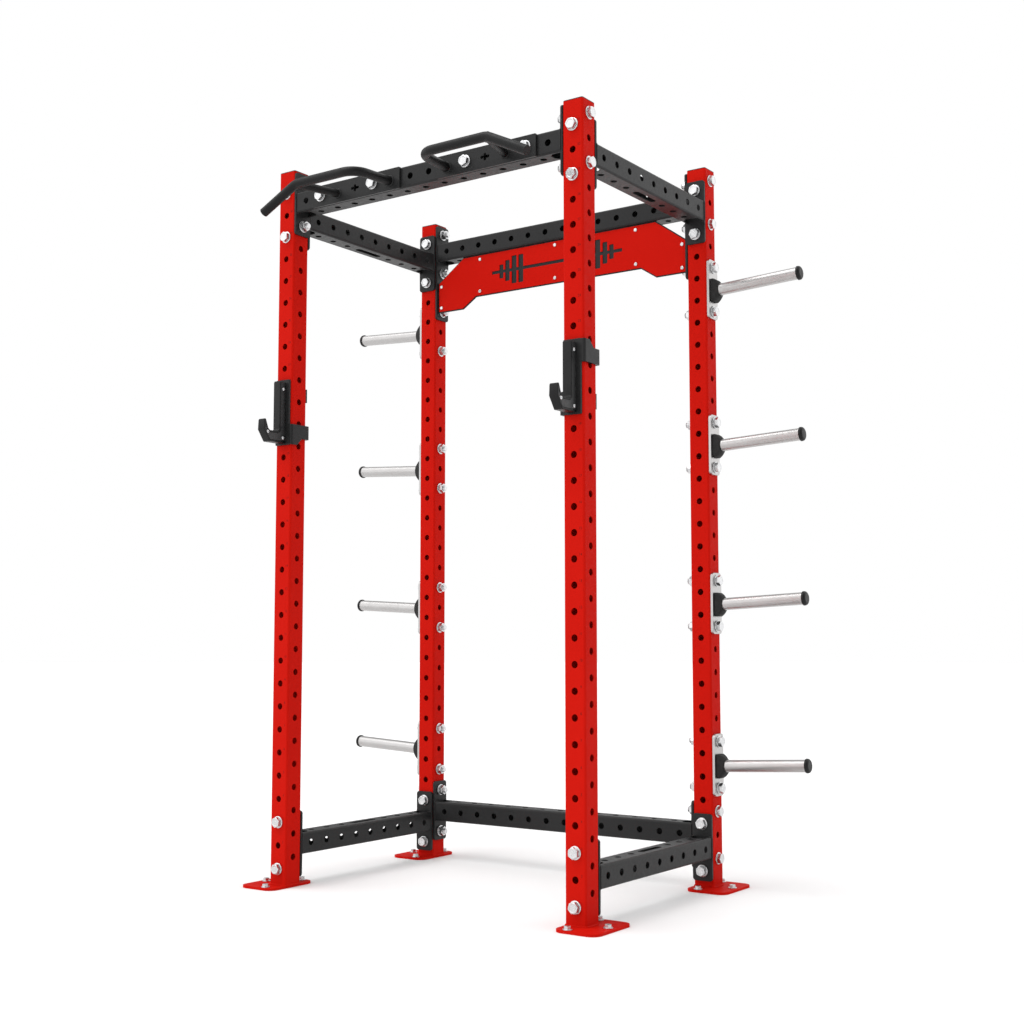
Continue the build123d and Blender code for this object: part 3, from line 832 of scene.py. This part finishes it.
# ---------------------------------------------------------------- storage peg collars
COLLAR_SECTIONS = (      # distance from the plate, half height, half width, corner radius
    (0.0, 0.0382, 0.0242, 0.0090), (0.0012, 0.0390, 0.0250, 0.0095), (0.0080, 0.0390, 0.0250, 0.0095),
    (0.0098, 0.0384, 0.0246, 0.0098), (0.0112, 0.0372, 0.0240, 0.0102), (0.0140, 0.0360, 0.0237, 0.0115),
    (0.0175, 0.0340, 0.0233, 0.0135), (0.0210, 0.0314, 0.0229, 0.0160), (0.0240, 0.0287, 0.0226, 0.0185),
    (0.0262, 0.0262, 0.0223, 0.0205), (0.0274, 0.0240, 0.0219, 0.0215), (0.0280, 0.0222, 0.0213, 0.0212),
    (0.0280, 0.0204, 0.0204, 0.0203),
)
COLLAR_CORNER_STEPS = 8


def rounded_section(half_y, half_z, corner):
    points = []
    for sy, sz, start in CORNERS:
        for k in range(COLLAR_CORNER_STEPS + 1):
            angle = math.radians(start + 90 * k / COLLAR_CORNER_STEPS)
            points.append((sy * (half_y - corner) + corner * math.cos(angle),
                           sz * (half_z - corner) + corner * math.sin(angle)))
    return points


def build_collar(label, side, number):
    source = f"{label}_peg_collar_{number}"
    low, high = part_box(source)
    middle = (low + high) / 2
    root = low.x if side > 0 else high.x
    rings = []
    for reach, half_z, half_y, corner in COLLAR_SECTIONS:
        rings.append([Vector((root + side * reach, middle.y + y, middle.z + z))
                      for y, z in rounded_section(half_y, half_z, corner)])
    bm = bmesh.new()
    add_rings(bm, rings)
    piece = new_piece(f"{label}_rubber_collar_{number}", bm, RUBBER, smooth_deg=45)
    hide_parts(source)


for label, side in (("left", -1), ("right", 1)):
    for number in range(1, 5):
        build_collar(label, side, number)


# ---------------------------------------------------------------- floor, light, camera
FLOOR_R = 40.0
bm = bmesh.new()
bmesh.ops.create_circle(bm, cap_ends=True, segments=96, radius=FLOOR_R)
floor_mesh = bpy.data.meshes.new("studio_floor")
bm.to_mesh(floor_mesh)
bm.free()
floor = bpy.data.objects.new("studio_floor", floor_mesh)
bpy.context.scene.collection.objects.link(floor)
floor.data.materials.append(FLOOR)

SOFTBOXES = (            # where each very large softbox stands, and how bright its middle is
    (Vector((-0.55, -0.72, 0.42)), 1.25),
    (Vector((0.50, 0.78, 0.40)), 1.05),
)
FILL_LEVEL = 0.42        # studio walls away from the softboxes
BACKDROP_LEVEL = 1.0     # pale backdrop as the camera sees it
GLOW_EDGE = 0.30         # cosine of the angle from a softbox's middle at which its glow ends
GLOW_FULL = 0.92         # and within which it is full


def softbox_glow(tree, coords, way, level):
    """Brightness of one large softbox, fading out away from its middle."""
    facing = tree.nodes.new("ShaderNodeVectorMath")
    facing.operation = "DOT_PRODUCT"
    facing.inputs[1].default_value = way.normalized()
    span = tree.nodes.new("ShaderNodeMapRange")
    span.interpolation_type = "SMOOTHSTEP"
    span.inputs["From Min"].default_value = GLOW_EDGE
    span.inputs["From Max"].default_value = GLOW_FULL
    span.inputs["To Min"].default_value = 0.0
    span.inputs["To Max"].default_value = level
    tree.links.new(coords.outputs["Generated"], facing.inputs[0])
    tree.links.new(facing.outputs["Value"], span.inputs["Value"])
    return span.outputs["Result"]


def studio_world():
    """Pale backdrop, lit by very large softboxes up in front to the left and up behind to the right."""
    world = bpy.data.worlds.new("soft_studio")
    world.use_nodes = True
    tree = world.node_tree
    tree.nodes.clear()
    coords = tree.nodes.new("ShaderNodeTexCoord")
    total = None
    for way, level in SOFTBOXES:
        glow = softbox_glow(tree, coords, way, level)
        add = tree.nodes.new("ShaderNodeMath")
        add.inputs[1].default_value = FILL_LEVEL
        tree.links.new(glow, add.inputs[0])
        if total is not None:
            tree.links.new(total, add.inputs[1])
        total = add.outputs["Value"]
    light = tree.nodes.new("ShaderNodeBackground")
    backdrop = tree.nodes.new("ShaderNodeBackground")
    backdrop.inputs["Strength"].default_value = BACKDROP_LEVEL
    path = tree.nodes.new("ShaderNodeLightPath")
    mix = tree.nodes.new("ShaderNodeMixShader")
    out = tree.nodes.new("ShaderNodeOutputWorld")
    tree.links.new(total, light.inputs["Strength"])
    for shader in (light, backdrop):
        shader.inputs["Color"].default_value = (1.0, 1.0, 1.0, 1.0)
    tree.links.new(path.outputs["Is Camera Ray"], mix.inputs["Fac"])
    tree.links.new(light.outputs["Background"], mix.inputs[1])
    tree.links.new(backdrop.outputs["Background"], mix.inputs[2])
    tree.links.new(mix.outputs["Shader"], out.inputs["Surface"])
    bpy.context.scene.world = world


def soft_sun(name, way, strength, spread):
    """Even light over the whole floor, coming from the direction way."""
    data = bpy.data.lights.new(name, "SUN")
    data.energy = strength
    data.angle = math.radians(spread)
    light = bpy.data.objects.new(name, data)
    bpy.context.scene.collection.objects.link(light)
    light.rotation_mode = "QUATERNION"
    light.rotation_quaternion = Vector(way).to_track_quat("Z", "Y")


studio_world()
soft_sun("overhead_light", (-0.22, -0.30, 1.0), 1.15, 45)

camera_data = bpy.data.cameras.new("camera")
camera_data.sensor_width = 36.0
camera_data.lens = 49.85                     # fits the object's perspective at its real size
camera = bpy.data.objects.new("camera", camera_data)
bpy.context.scene.collection.objects.link(camera)
camera.location = (2.7543, -3.7737, 0.8163)
camera.rotation_euler = (math.radians(94.99), 0.0, math.radians(35.11))
bpy.context.scene.camera = camera

bpy.context.scene.view_settings.view_transform = "Standard"
bpy.context.scene.view_settings.look = "None"
